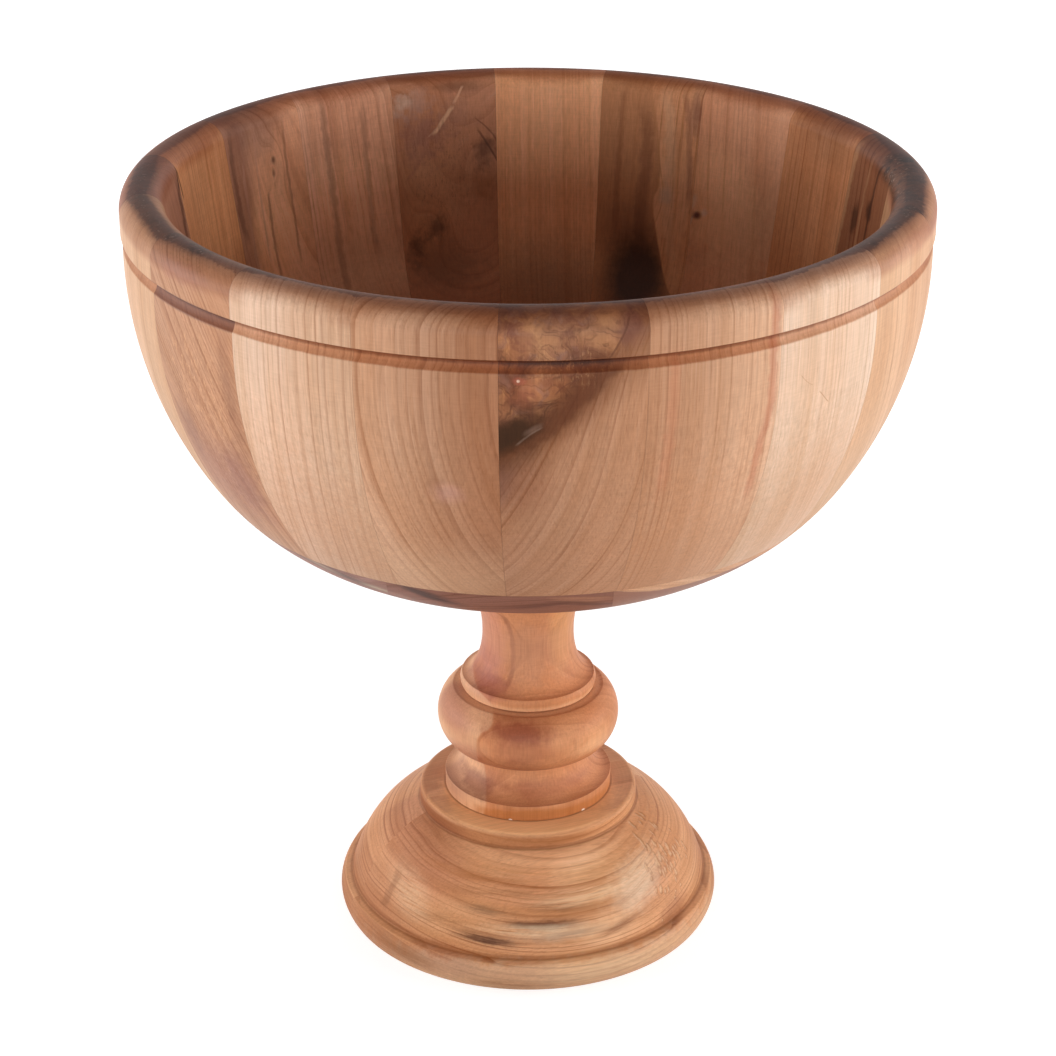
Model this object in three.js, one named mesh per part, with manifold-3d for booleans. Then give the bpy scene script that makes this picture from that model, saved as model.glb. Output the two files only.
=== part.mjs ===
// A footed bowl of turned wood: nineteen glued staves on a glued bottom, carried by a turned stem
// on a domed base of two glued boards. Millimetres, +Z up, the base's flat underside at z = 0 and
// the turning axis on the Z axis. The front of the bowl faces -Y. Angles are in degrees.
import * as THREE from "three";
import { mergeVertices } from "three/addons/utils/BufferGeometryUtils.js";
import Module from "manifold-3d";

const wasm = await Module();
wasm.setup();

// Glue line between two pieces.
const GLUE_GAP = 0.3;

// Base, from the ground up: a flange, a dome behind a narrow ledge, and a plate for the stem.
const BASE_RADIUS = 75.3;
const FLANGE_HEIGHT = 11.6;
const FLANGE_BULGE = 1.8;
const LEDGE_WIDTH = 3.1;
const LEDGE_RISE = 0.8;
const DOME_HEIGHT = 30.6;
const DOME_BULGE = 4.0;
const SHOULDER_WIDTH = 4.7;
const SHOULDER_RISE = 2.1;
const PLATE_RADIUS = 44;
const PLATE_THICKNESS = 6.4;
const PLATE_ROUND = 2;
// Direction of the base's glue joint, anticlockwise from +X as seen from above.
const BASE_JOINT_ANGLE = 20.9;

// Stem, from its foot ring up to the ring that carries the bowl.
const FOOT_RING_RADIUS = 33.5;
const FOOT_RING_HEIGHT = 6.3;
const COVE_HEIGHT = 13;
const WAIST_RADIUS = 24.5;
const KNOP_RADIUS = 36.3;
const KNOP_HALF_HEIGHT = 13.5;
// The knop's round runs between these angles, measured up from level.
const KNOP_START_ANGLE = -80;
const KNOP_END_ANGLE = 61.8;
// A V groove parts the knop from the neck ring.
const NECK_GROOVE_DEPTH = 1.8;
const NECK_GROOVE_RISE = 0.6;
const NECK_RING_RADIUS = 26.4;
const NECK_RING_HEIGHT = 5.6;
const NECK_RING_BULGE = 0.7;
const NECK_RADIUS = 18.15;
const NECK_LOWER_HEIGHT = 18.6;
const NECK_UPPER_HEIGHT = 22;
const CAP_NECK_RADIUS = 27.6;
const CAP_HEIGHT = 13.3;
const CAP_BULGE = 2.5;
const SEAT_RING_RADIUS = 38;
const SEAT_RING_HEIGHT = 6.5;

// Round tenons turned on the two ends of the stem.
const TENON_RADIUS = 14;
const LOWER_TENON_LENGTH = 20;
const UPPER_TENON_LENGTH = 11;

// Bowl, measured from its own underside. Its outside changes from the lower arc to the upper one
// where both have turned this far from level.
const BOWL_HEIGHT = 146;
const UNDERSIDE_RADIUS = 50.6;
const LOWER_ARC_RADIUS = 88.8;
const UPPER_ARC_RADIUS = 146.4;
const ARC_CHANGE_ANGLE = 34.24;
const BOARD_THICKNESS = 29;
const FLOOR_THICKNESS = 19;
const FLOOR_RADIUS = 50.5;
const INSIDE_CORNER_RADIUS = 75;
const INSIDE_TAPER = 9;
const LIP_STEP = 0.6;
const LIP_BAND_HEIGHT = 16.8;
const GROOVE_WIDTH = 3.8;
const GROOVE_DEPTH = 1.5;

// Staves are equal sectors. The first begins at this seam, measured from the front towards +X.
const STAVE_COUNT = 19;
const FIRST_SEAM_ANGLE = -3.7;
// Joints of the bottom boards, measured from the axis along X.
const BOTTOM_JOINTS = [-50, 30];

// How far a facet may lie inside the arc it stands for, and the facets round the axis.
const CHORD_SAG = 0.15;
const STAVE_FACETS = 3;
const TURNED_FACETS = 48;

const degrees = THREE.MathUtils.degToRad;

// Heights and radii that follow from the sizes above.
const creaseZ = FLANGE_HEIGHT + LEDGE_RISE;
const creaseRadius = BASE_RADIUS - LEDGE_WIDTH;
const domeTopZ = creaseZ + DOME_HEIGHT;
const domeTopRadius = PLATE_RADIUS + SHOULDER_WIDTH;
const plateBottomZ = domeTopZ + SHOULDER_RISE;
const plateTopZ = plateBottomZ + PLATE_THICKNESS;
const stemZ = plateTopZ + GLUE_GAP;
const footRingTopZ = stemZ + FOOT_RING_HEIGHT;
const knopZ = footRingTopZ + COVE_HEIGHT;
const knopTopZ = knopZ + KNOP_HALF_HEIGHT * (1 + Math.sin(degrees(KNOP_END_ANGLE)));
const neckRingTopZ = knopTopZ + NECK_RING_HEIGHT;
const neckZ = neckRingTopZ + NECK_LOWER_HEIGHT;
const capZ = neckZ + NECK_UPPER_HEIGHT;
const seatRingZ = capZ + CAP_HEIGHT;
const stemTopZ = seatRingZ + SEAT_RING_HEIGHT;
const bowlZ = stemTopZ + GLUE_GAP;
const boardTopZ = bowlZ + BOARD_THICKNESS;
const staveZ = boardTopZ + GLUE_GAP;
const lipZ = bowlZ + BOWL_HEIGHT;
const grooveTopZ = lipZ - LIP_BAND_HEIGHT;
const grooveZ = grooveTopZ - GROOVE_WIDTH;
const mortiseRadius = TENON_RADIUS + GLUE_GAP;

function point(radius, z) {
  return new THREE.Vector2(radius, z);
}

// The outside of the bowl is two arcs tangent to each other, the lower one tangent to the underside.
const lowerCentre = point(UNDERSIDE_RADIUS, bowlZ + LOWER_ARC_RADIUS);
const changeAngle = degrees(ARC_CHANGE_ANGLE);
const arcDifference = UPPER_ARC_RADIUS - LOWER_ARC_RADIUS;
const upperCentre = point(
  lowerCentre.x - arcDifference * Math.cos(changeAngle),
  lowerCentre.y + arcDifference * Math.sin(changeAngle),
);
const lipRadius = upperCentre.x + UPPER_ARC_RADIUS + LIP_STEP;

// The inside is a flat floor, a corner arc and a straight wall that leans out by the taper.
const insideCentre = point(FLOOR_RADIUS, bowlZ + FLOOR_THICKNESS + INSIDE_CORNER_RADIUS);
const taper = degrees(INSIDE_TAPER);
const wallStart = point(
  insideCentre.x + INSIDE_CORNER_RADIUS * Math.cos(taper),
  insideCentre.y - INSIDE_CORNER_RADIUS * Math.sin(taper),
);
// The lip is a half round that takes up the whole thickness of the wall.
const wallRadiusAtLip = wallStart.x + (lipZ - wallStart.y) * Math.tan(taper);
const lipRound = (lipRadius - wallRadiusAtLip) / (2 - Math.tan(taper));
const lipCentre = point(lipRadius - lipRound, lipZ - lipRound);

// Points on an ellipse's arc between two angles, 0 pointing away from the axis and 90 up.
function ellipseArc(centre, radiusOut, radiusUp, fromAngle, toAngle) {
  const sweep = degrees(Math.abs(toAngle - fromAngle));
  const steps = Math.ceil(sweep / (2 * Math.acos(1 - CHORD_SAG / Math.max(radiusOut, radiusUp))));
  const points = [];
  for (let i = 0; i <= steps; i += 1) {
    const angle = degrees(fromAngle + ((toAngle - fromAngle) * i) / steps);
    points.push(point(centre.x + radiusOut * Math.cos(angle), centre.y + radiusUp * Math.sin(angle)));
  }
  return points;
}

function arc(centre, radius, fromAngle, toAngle) {
  return ellipseArc(centre, radius, radius, fromAngle, toAngle);
}

// A shallow arc from one point to another that swells to the right of the way it goes.
function swell(from, to, bulge) {
  const along = to.clone().sub(from);
  const right = point(along.y, -along.x).normalize();
  const steps = Math.ceil(Math.sqrt(Math.abs(bulge) / CHORD_SAG));
  const points = [];
  for (let i = 0; i <= steps; i += 1) {
    const t = i / steps;
    const height = 4 * bulge * t * (1 - t);
    points.push(from.clone().addScaledVector(along, t).addScaledVector(right, height));
  }
  return points;
}

// Angle from level at which an arc of the bowl passes a given height.
function angleAt(centre, radius, z) {
  return THREE.MathUtils.radToDeg(Math.asin((z - centre.y) / radius));
}

// The staves' outside, from their foot up to the groove.
function outside() {
  const fromAngle = angleAt(lowerCentre, LOWER_ARC_RADIUS, staveZ);
  const toAngle = angleAt(upperCentre, UPPER_ARC_RADIUS, grooveZ);
  return [
    ...arc(lowerCentre, LOWER_ARC_RADIUS, fromAngle, -ARC_CHANGE_ANGLE),
    ...arc(upperCentre, UPPER_ARC_RADIUS, -ARC_CHANGE_ANGLE, toAngle).slice(1),
  ];
}

// The groove is a shallow cove below the lip's band, from a given point up.
function groove(from) {
  return swell(from, point(lipRadius, grooveTopZ), -GROOVE_DEPTH).slice(1);
}

// Two quarter rounds, so that a facet's edge lies on the very top.
function lip() {
  return [...arc(lipCentre, lipRound, 0, 90), ...arc(lipCentre, lipRound, 90, 180).slice(1)];
}

// The staves' inside, from the straight wall down to their foot.
function inside() {
  const toAngle = angleAt(insideCentre, INSIDE_CORNER_RADIUS, staveZ);
  return arc(insideCentre, INSIDE_CORNER_RADIUS, -INSIDE_TAPER, toAngle);
}

// A closed outline swept round the axis between two joint planes, half a glue line off each seam.
function staveGeometry(outline, startAngle, sweepAngle) {
  const positions = [];
  for (const corner of outline) {
    const inset = Math.asin(GLUE_GAP / 2 / corner.x);
    for (let j = 0; j <= STAVE_FACETS; j += 1) {
      const angle = startAngle + inset + ((sweepAngle - 2 * inset) * j) / STAVE_FACETS;
      positions.push(corner.x * Math.sin(angle), -corner.x * Math.cos(angle), corner.y);
    }
  }
  const row = STAVE_FACETS + 1;
  const indices = [];
  for (let i = 0; i < outline.length; i += 1) {
    const next = (i + 1) % outline.length;
    for (let j = 0; j < STAVE_FACETS; j += 1) {
      const a = i * row + j;
      const b = next * row + j;
      indices.push(a, a + 1, b + 1, a, b + 1, b);
    }
  }
  for (const [p, q, r] of THREE.ShapeUtils.triangulateShape(outline, [])) {
    indices.push(p * row, q * row, r * row);
    indices.push(p * row + STAVE_FACETS, r * row + STAVE_FACETS, q * row + STAVE_FACETS);
  }
  const geometry = new THREE.BufferGeometry();
  geometry.setAttribute("position", new THREE.Float32BufferAttribute(positions, 3));
  geometry.setIndex(indices);
  geometry.computeVertexNormals();
  return geometry;
}

// A profile turned about the Z axis.
function turned(profile) {
  const geometry = new THREE.LatheGeometry(profile, TURNED_FACETS);
  geometry.rotateX(Math.PI / 2);
  return geometry;
}

function toSolid(geometry) {
  const bare = geometry.clone();
  bare.deleteAttribute("normal");
  bare.deleteAttribute("uv");
  const merged = mergeVertices(bare, 1e-4);
  const index = merged.index.array;
  const corners = [];
  for (let i = 0; i < index.length; i += 3) {
    const [a, b, c] = [index[i], index[i + 1], index[i + 2]];
    if (a !== b && b !== c && c !== a) corners.push(a, b, c);
  }
  const mesh = new wasm.Mesh({
    numProp: 3,
    vertProperties: Float32Array.from(merged.attributes.position.array),
    triVerts: Uint32Array.from(corners),
  });
  return new wasm.Manifold(mesh);
}

function toGeometry(solid) {
  const mesh = solid.getMesh();
  const geometry = new THREE.BufferGeometry();
  geometry.setAttribute("position", new THREE.BufferAttribute(mesh.vertProperties, 3));
  geometry.setIndex(new THREE.BufferAttribute(mesh.triVerts, 1));
  geometry.computeVertexNormals();
  return geometry;
}

// Cuts a turned block into boards at upright joint planes, leaving a glue line at each. The joints
// are distances from the axis along the direction in which the boards are counted.
function intoBoards(block, joints, direction) {
  const onwards = [Math.cos(degrees(direction)), Math.sin(degrees(direction)), 0];
  const backwards = onwards.map((part) => -part);
  const boards = [];
  let rest = toSolid(block);
  for (const joint of joints) {
    boards.push(toGeometry(rest.trimByPlane(backwards, GLUE_GAP / 2 - joint)));
    rest = rest.trimByPlane(onwards, joint + GLUE_GAP / 2);
  }
  boards.push(toGeometry(rest));
  return boards;
}

function baseProfile() {
  const mortiseZ = stemZ - LOWER_TENON_LENGTH - GLUE_GAP;
  const plateRoundCentre = point(PLATE_RADIUS - PLATE_ROUND, plateTopZ - PLATE_ROUND);
  return [
    point(0, 0),
    ...swell(point(BASE_RADIUS, 0), point(BASE_RADIUS, FLANGE_HEIGHT), FLANGE_BULGE),
    ...swell(point(creaseRadius, creaseZ), point(domeTopRadius, domeTopZ), DOME_BULGE),
    point(PLATE_RADIUS, plateBottomZ),
    ...arc(plateRoundCentre, PLATE_ROUND, 0, 90),
    point(mortiseRadius, plateTopZ),
    point(mortiseRadius, mortiseZ),
    point(0, mortiseZ),
  ];
}

function coveProfile() {
  const width = FOOT_RING_RADIUS - WAIST_RADIUS;
  return ellipseArc(point(FOOT_RING_RADIUS, knopZ), width, COVE_HEIGHT, 270, 180).slice(1);
}

function knopProfile() {
  const centre = point(WAIST_RADIUS, knopZ + KNOP_HALF_HEIGHT);
  const reach = KNOP_RADIUS - WAIST_RADIUS;
  return ellipseArc(centre, reach, KNOP_HALF_HEIGHT, KNOP_START_ANGLE, KNOP_END_ANGLE);
}

function neckProfile() {
  const ringStart = point(NECK_RING_RADIUS, knopTopZ + NECK_GROOVE_RISE);
  const ringEnd = point(NECK_RING_RADIUS, neckRingTopZ);
  const lowerWidth = NECK_RING_RADIUS - NECK_RADIUS;
  const upperWidth = CAP_NECK_RADIUS - NECK_RADIUS;
  return [
    point(NECK_RING_RADIUS - NECK_GROOVE_DEPTH, knopTopZ),
    ...swell(ringStart, ringEnd, NECK_RING_BULGE),
    ...ellipseArc(point(NECK_RING_RADIUS, neckZ), lowerWidth, NECK_LOWER_HEIGHT, 270, 180).slice(1),
    ...ellipseArc(point(CAP_NECK_RADIUS, neckZ), upperWidth, NECK_UPPER_HEIGHT, 180, 90).slice(1),
    ...swell(point(CAP_NECK_RADIUS, capZ), point(SEAT_RING_RADIUS, seatRingZ), CAP_BULGE).slice(1),
  ];
}

function stemProfile() {
  return [
    point(0, stemZ - LOWER_TENON_LENGTH),
    point(TENON_RADIUS, stemZ - LOWER_TENON_LENGTH),
    point(TENON_RADIUS, stemZ),
    point(FOOT_RING_RADIUS, stemZ),
    point(FOOT_RING_RADIUS, footRingTopZ),
    ...coveProfile(),
    ...knopProfile(),
    ...neckProfile(),
    point(SEAT_RING_RADIUS, stemTopZ),
    point(TENON_RADIUS, stemTopZ),
    point(TENON_RADIUS, stemTopZ + UPPER_TENON_LENGTH),
    point(0, stemTopZ + UPPER_TENON_LENGTH),
  ];
}

function bottomProfile() {
  const mortiseZ = stemTopZ + UPPER_TENON_LENGTH + GLUE_GAP;
  const outsideTop = angleAt(lowerCentre, LOWER_ARC_RADIUS, boardTopZ);
  const insideTop = angleAt(insideCentre, INSIDE_CORNER_RADIUS, boardTopZ);
  return [
    point(0, mortiseZ),
    point(mortiseRadius, mortiseZ),
    point(mortiseRadius, bowlZ),
    ...arc(lowerCentre, LOWER_ARC_RADIUS, -90, outsideTop),
    ...arc(insideCentre, INSIDE_CORNER_RADIUS, insideTop, -90),
    point(0, bowlZ + FLOOR_THICKNESS),
  ];
}

function wood(color, roughness) {
  return new THREE.MeshStandardMaterial({ color, roughness, metalness: 0 });
}

const paleWood = wood(0xdcb08a, 0.45);
const brownWood = wood(0x9a6b4e, 0.45);
const figuredWood = wood(0xb98258, 0.42);
const bottomWood = wood(0x7e5240, 0.5);
const stemWood = wood(0xc4805a, 0.38);
const baseWood = wood(0xcc966c, 0.5);

// Staves are numbered from the first seam towards +X. One is a burr board and a few are heartwood.
const FIGURED_STAVE = 1;
const BROWN_STAVES = [6, 9, 11, 12, 13, 17];

function staveWood(number) {
  if (number === FIGURED_STAVE) return figuredWood.clone();
  return BROWN_STAVES.includes(number) ? brownWood.clone() : paleWood.clone();
}

const object = new THREE.Group();

function place(name, geometry, material) {
  const mesh = new THREE.Mesh(geometry, material);
  mesh.name = name;
  object.add(mesh);
}

function addBase() {
  const [front, back] = intoBoards(turned(baseProfile()), [0], BASE_JOINT_ANGLE + 90);
  place("base_board_front", front, baseWood.clone());
  place("base_board_back", back, baseWood.clone());
}

function addStem() {
  place("stem", turned(stemProfile()), stemWood);
}

function addBottom() {
  const [left, middle, right] = intoBoards(turned(bottomProfile()), BOTTOM_JOINTS, 0);
  place("bottom_board_left", left, bottomWood.clone());
  place("bottom_board_middle", middle, bottomWood.clone());
  place("bottom_board_right", right, bottomWood.clone());
}

function addStaves() {
  const shell = outside();
  const outline = [...shell, ...groove(shell.at(-1)), ...lip(), ...inside()];
  const sweepAngle = degrees(360 / STAVE_COUNT);
  for (let i = 0; i < STAVE_COUNT; i += 1) {
    const geometry = staveGeometry(outline, degrees(FIRST_SEAM_ANGLE) + i * sweepAngle, sweepAngle);
    const number = i + 1;
    place(`stave_${String(number).padStart(2, "0")}`, geometry, staveWood(number));
  }
}

addBase();
addStem();
addBottom();
addStaves();

export default object;
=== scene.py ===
"""A footed bowl of glued wooden staves on a turned stem and base, dressed for a studio picture.

Everything is in metres, +Z up, with the ground at z = 0 and the turning axis on the Z axis. The
front of the bowl faces -Y. Angles are in degrees and colours are sRGB.
"""
import math
import random
from dataclasses import dataclass

import bmesh
import bpy
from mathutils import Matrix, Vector


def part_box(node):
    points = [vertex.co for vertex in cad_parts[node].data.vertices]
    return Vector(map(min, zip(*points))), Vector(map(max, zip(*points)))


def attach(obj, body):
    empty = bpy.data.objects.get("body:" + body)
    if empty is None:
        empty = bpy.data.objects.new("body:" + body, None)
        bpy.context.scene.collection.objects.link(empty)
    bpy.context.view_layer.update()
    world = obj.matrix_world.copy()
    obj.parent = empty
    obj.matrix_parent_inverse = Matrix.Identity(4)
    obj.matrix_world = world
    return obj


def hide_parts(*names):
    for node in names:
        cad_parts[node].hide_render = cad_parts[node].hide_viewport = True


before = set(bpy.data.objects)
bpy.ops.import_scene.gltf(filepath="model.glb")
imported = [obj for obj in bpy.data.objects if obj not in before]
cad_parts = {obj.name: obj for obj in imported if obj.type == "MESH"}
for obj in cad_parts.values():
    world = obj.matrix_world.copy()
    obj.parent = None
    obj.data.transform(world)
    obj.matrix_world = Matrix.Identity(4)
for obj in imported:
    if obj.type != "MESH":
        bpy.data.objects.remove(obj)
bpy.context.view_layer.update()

# Base: a flange, a dome behind a narrow ledge, and a plate for the stem.
BASE_RADIUS = 0.0753
FLANGE_HEIGHT = 0.0116
FLANGE_BULGE = 0.0018
LEDGE_WIDTH = 0.0031
LEDGE_RISE = 0.0008
DOME_HEIGHT = 0.0306
DOME_BULGE = 0.0040
SHOULDER_WIDTH = 0.0047
SHOULDER_RISE = 0.0021
PLATE_RADIUS = 0.044
PLATE_ROUND = 0.002
BASE_JOINT_ANGLE = 20.9

# Stem, from its foot ring up to the ring that carries the bowl.
FOOT_RING_RADIUS = 0.0335
FOOT_RING_HEIGHT = 0.0063
COVE_HEIGHT = 0.013
WAIST_RADIUS = 0.0245
KNOP_RADIUS = 0.0363
KNOP_HALF_HEIGHT = 0.0135
KNOP_START_ANGLE = -80
KNOP_END_ANGLE = 61.8
NECK_GROOVE_DEPTH = 0.0018
NECK_GROOVE_RISE = 0.0006
NECK_RING_RADIUS = 0.0264
NECK_RING_HEIGHT = 0.0056
NECK_RING_BULGE = 0.0007
NECK_RADIUS = 0.01815
NECK_LOWER_HEIGHT = 0.0186
NECK_UPPER_HEIGHT = 0.022
CAP_NECK_RADIUS = 0.0276
CAP_HEIGHT = 0.0133
CAP_BULGE = 0.0025
SEAT_RING_RADIUS = 0.038
TENON_RADIUS = 0.014

# Bowl, measured from its own underside.
UNDERSIDE_RADIUS = 0.0506
LOWER_ARC_RADIUS = 0.0888
UPPER_ARC_RADIUS = 0.1464
ARC_CHANGE_ANGLE = 34.24
FLOOR_THICKNESS = 0.019
FLOOR_RADIUS = 0.0505
INSIDE_CORNER_RADIUS = 0.075
INSIDE_TAPER = 9
LIP_STEP = 0.0006
LIP_BAND_HEIGHT = 0.0161
GROOVE_WIDTH = 0.0048
GROOVE_DEPTH = 0.0022
GROOVE_UNDERCUT = 0.0011
GROOVE_HOLLOW = 0.0003
STAVE_COUNT = 19
FIRST_SEAM_ANGLE = -3.7
BOTTOM_JOINTS = (-0.050, 0.030)

# Torn grain on the right of the dome. Its tears are placed in mm on the dome laid flat, by the radius
# of the dome there and the length of its slope for each mm of height. No tear lies nearer the axis than
# the inner radius, or further round than the angle whose cosine is the limit.
TORN_AZIMUTH = 62
TORN_HEIGHT = 31
TORN_RADIUS = 60
TORN_SLOPE = 1.3
TORN_LIMIT = 0.85
TORN_INNER_RADIUS = 0.046
TORN_COUNT = 70
TORN_SPREAD = 7
TORN_HALF_LENGTHS = (0.9, 2.8)
TORN_HALF_WIDTHS = (0.5, 0.9)
TORN_DEPTH = 0.0004
TORN_SEED = 5

# Studio: strength of the light from the wall behind the bowl and from the ceiling, the floor's grey and
# half its width.
BACKDROP_LEVEL = 1.5
CEILING_LEVEL = 0.14
FLOOR_GREY = 0.55
FLOOR_HALF_SIZE = 6

# Camera: in front of the axis, above the ground, looking down by the tilt, with its lens in mm.
CAMERA_DISTANCE = 0.975
CAMERA_HEIGHT = 0.6166
CAMERA_TILT = 24.896
CAMERA_LENS = 93.82

# How finely curves are cut, how far turned corners are eased, half the width of a closed joint, how near
# two points are taken for one, and the angle above which an edge is sharp.
CHORD = 0.0006
EASE = 0.0004
JOINT = 0.00002
SAME_POINT = 0.000001
SHARP_ANGLE = 30

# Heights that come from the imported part.
plate_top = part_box("base_board_front")[1].z
lower_tenon_end, upper_tenon_end = (corner.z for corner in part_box("stem"))
bowl_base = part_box("bottom_board_middle")[0].z
board_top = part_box("bottom_board_middle")[1].z
lip_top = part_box("stave_01")[1].z

lower_centre = Vector((UNDERSIDE_RADIUS, bowl_base + LOWER_ARC_RADIUS))
change = math.radians(ARC_CHANGE_ANGLE)
towards_change = Vector((math.cos(change), -math.sin(change)))
upper_centre = lower_centre - (UPPER_ARC_RADIUS - LOWER_ARC_RADIUS) * towards_change
lip_radius = upper_centre.x + UPPER_ARC_RADIUS + LIP_STEP
inside_centre = Vector((FLOOR_RADIUS, bowl_base + FLOOR_THICKNESS + INSIDE_CORNER_RADIUS))
taper = math.radians(INSIDE_TAPER)
wall_start = inside_centre + INSIDE_CORNER_RADIUS * Vector((math.cos(taper), -math.sin(taper)))
wall_radius_at_lip = wall_start.x + (lip_top - wall_start.y) * math.tan(taper)
lip_round = (lip_radius - wall_radius_at_lip) / (2 - math.tan(taper))
lip_centre = Vector((lip_radius - lip_round, lip_top - lip_round))
groove_top = lip_top - LIP_BAND_HEIGHT
groove_base = groove_top - GROOVE_WIDTH


# Outlines: a curve is a list of points (distance from the axis, height).

def oval(centre, out, up, start, end):
    """An arc of an ellipse between two angles, 0 pointing away from the axis and 90 up."""
    steps = max(4, math.ceil(max(out, up) * math.radians(abs(end - start)) / CHORD))
    angles = (math.radians(start + (end - start) * i / steps) for i in range(steps + 1))
    return [Vector((centre[0] + out * math.cos(a), centre[1] + up * math.sin(a))) for a in angles]


def arc(centre, radius, start, end):
    return oval(centre, radius, radius, start, end)


def swell(start, end, bulge):
    """A shallow arc that swells to the right of the way it goes."""
    start, end = Vector(start), Vector(end)
    along = end - start
    right = Vector((along.y, -along.x)).normalized()
    steps = max(4, math.ceil(along.length / CHORD))
    curve = []
    for i in range(steps + 1):
        t = i / steps
        curve.append(start + along * t + right * (4 * bulge * t * (1 - t)))
    return curve


def line(*points):
    """Straight runs through the points, cut finely enough to be eased at their corners."""
    points = [Vector(p) for p in points]
    curve = [points[0]]
    for start, end in zip(points, points[1:]):
        steps = max(2, math.ceil((end - start).length / CHORD))
        curve += [start.lerp(end, i / steps) for i in range(1, steps + 1)]
    return curve


def shortened(curve, length):
    """The curve without its last stretch of this length."""
    curve = list(curve)
    while len(curve) > 2 and (curve[-1] - curve[-2]).length < length:
        length -= (curve[-1] - curve[-2]).length
        curve.pop()
    last = curve[-1] - curve[-2]
    curve[-1] = curve[-1] - last * min(0.9, length / last.length)
    return curve


def joined(curves, ease=EASE):
    """Curves end to end, with the corner at each meeting rounded off over the ease."""
    whole = list(curves[0])
    for curve in curves[1:]:
        corner = curve[0]
        whole = shortened(whole, ease)
        rest = shortened(curve[::-1], ease)[::-1]
        start, end = whole[-1], rest[0]
        for i in range(1, 4):
            t = i / 4
            whole.append(start * (1 - t) ** 2 + corner * 2 * t * (1 - t) + end * t ** 2)
        whole += rest
    return whole


def angle_at(centre, radius, height):
    return math.degrees(math.asin((height - centre.y) / radius))


def base_outline():
    dome_foot = (BASE_RADIUS - LEDGE_WIDTH, FLANGE_HEIGHT + LEDGE_RISE)
    dome_top = (PLATE_RADIUS + SHOULDER_WIDTH, dome_foot[1] + DOME_HEIGHT)
    plate_base = (PLATE_RADIUS, dome_top[1] + SHOULDER_RISE)
    round_centre = (PLATE_RADIUS - PLATE_ROUND, plate_top - PLATE_ROUND)
    return joined([
        line((0, 0), (BASE_RADIUS, 0)),
        swell((BASE_RADIUS, 0), (BASE_RADIUS, FLANGE_HEIGHT), FLANGE_BULGE),
        line((BASE_RADIUS, FLANGE_HEIGHT), dome_foot),
        swell(dome_foot, dome_top, DOME_BULGE),
        line(dome_top, plate_base),
        line(plate_base, (PLATE_RADIUS, round_centre[1])) + arc(round_centre, PLATE_ROUND, 0, 90)[1:],
        line((round_centre[0], plate_top), (TENON_RADIUS, plate_top)),
        line((TENON_RADIUS, plate_top), (TENON_RADIUS, lower_tenon_end), (0, lower_tenon_end)),
    ])


def stem_outline():
    foot = plate_top + JOINT
    seat = bowl_base - JOINT
    tenon = TENON_RADIUS - JOINT
    low_end = lower_tenon_end + JOINT
    high_end = upper_tenon_end - JOINT
    ring_top = plate_top + FOOT_RING_HEIGHT
    knop_base = ring_top + COVE_HEIGHT
    knop_centre = (WAIST_RADIUS, knop_base + KNOP_HALF_HEIGHT)
    knop = oval(knop_centre, KNOP_RADIUS - WAIST_RADIUS, KNOP_HALF_HEIGHT, KNOP_START_ANGLE, KNOP_END_ANGLE)
    groove = (NECK_RING_RADIUS - NECK_GROOVE_DEPTH, knop[-1].y)
    neck_ring = (NECK_RING_RADIUS, knop[-1].y + NECK_GROOVE_RISE)
    neck_ring_top = (NECK_RING_RADIUS, knop[-1].y + NECK_RING_HEIGHT)
    neck = neck_ring_top[1] + NECK_LOWER_HEIGHT
    cap = (CAP_NECK_RADIUS, neck + NECK_UPPER_HEIGHT)
    seat_ring = (SEAT_RING_RADIUS, cap[1] + CAP_HEIGHT)
    lower_neck = oval((NECK_RING_RADIUS, neck), NECK_RING_RADIUS - NECK_RADIUS, NECK_LOWER_HEIGHT, 270, 180)
    upper_neck = oval((CAP_NECK_RADIUS, neck), CAP_NECK_RADIUS - NECK_RADIUS, NECK_UPPER_HEIGHT, 180, 90)
    return joined([
        line((0, low_end), (tenon, low_end)),
        line((tenon, low_end), (tenon, foot)),
        line((tenon, foot), (FOOT_RING_RADIUS, foot)),
        line((FOOT_RING_RADIUS, foot), (FOOT_RING_RADIUS, ring_top)),
        oval((FOOT_RING_RADIUS, knop_base), FOOT_RING_RADIUS - WAIST_RADIUS, COVE_HEIGHT, 270, 180),
        line((WAIST_RADIUS, knop_base), knop[0]),
        knop,
        line(knop[-1], groove),
        line(groove, neck_ring),
        swell(neck_ring, neck_ring_top, NECK_RING_BULGE),
        lower_neck + upper_neck[1:],
        swell(cap, seat_ring, CAP_BULGE),
        line(seat_ring, (SEAT_RING_RADIUS, seat)),
        line((SEAT_RING_RADIUS, seat), (tenon, seat)),
        line((tenon, seat), (tenon, high_end)),
        line((tenon, high_end), (0, high_end)),
    ], ease=EASE / 2)


def bottom_outline():
    top = board_top - JOINT
    outside_end = angle_at(lower_centre, LOWER_ARC_RADIUS, top)
    outside = arc(lower_centre, LOWER_ARC_RADIUS, -90, outside_end)
    inside_start = angle_at(inside_centre, INSIDE_CORNER_RADIUS, top)
    inside = arc(inside_centre, INSIDE_CORNER_RADIUS, inside_start, -90)
    return [
        *line((0, upper_tenon_end), (TENON_RADIUS, upper_tenon_end), (TENON_RADIUS, bowl_base)),
        *outside,
        *line(outside[-1], inside[0])[1:],
        *inside[1:],
        *line(inside[-1], (0, bowl_base + FLOOR_THICKNESS))[1:],
    ]


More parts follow.
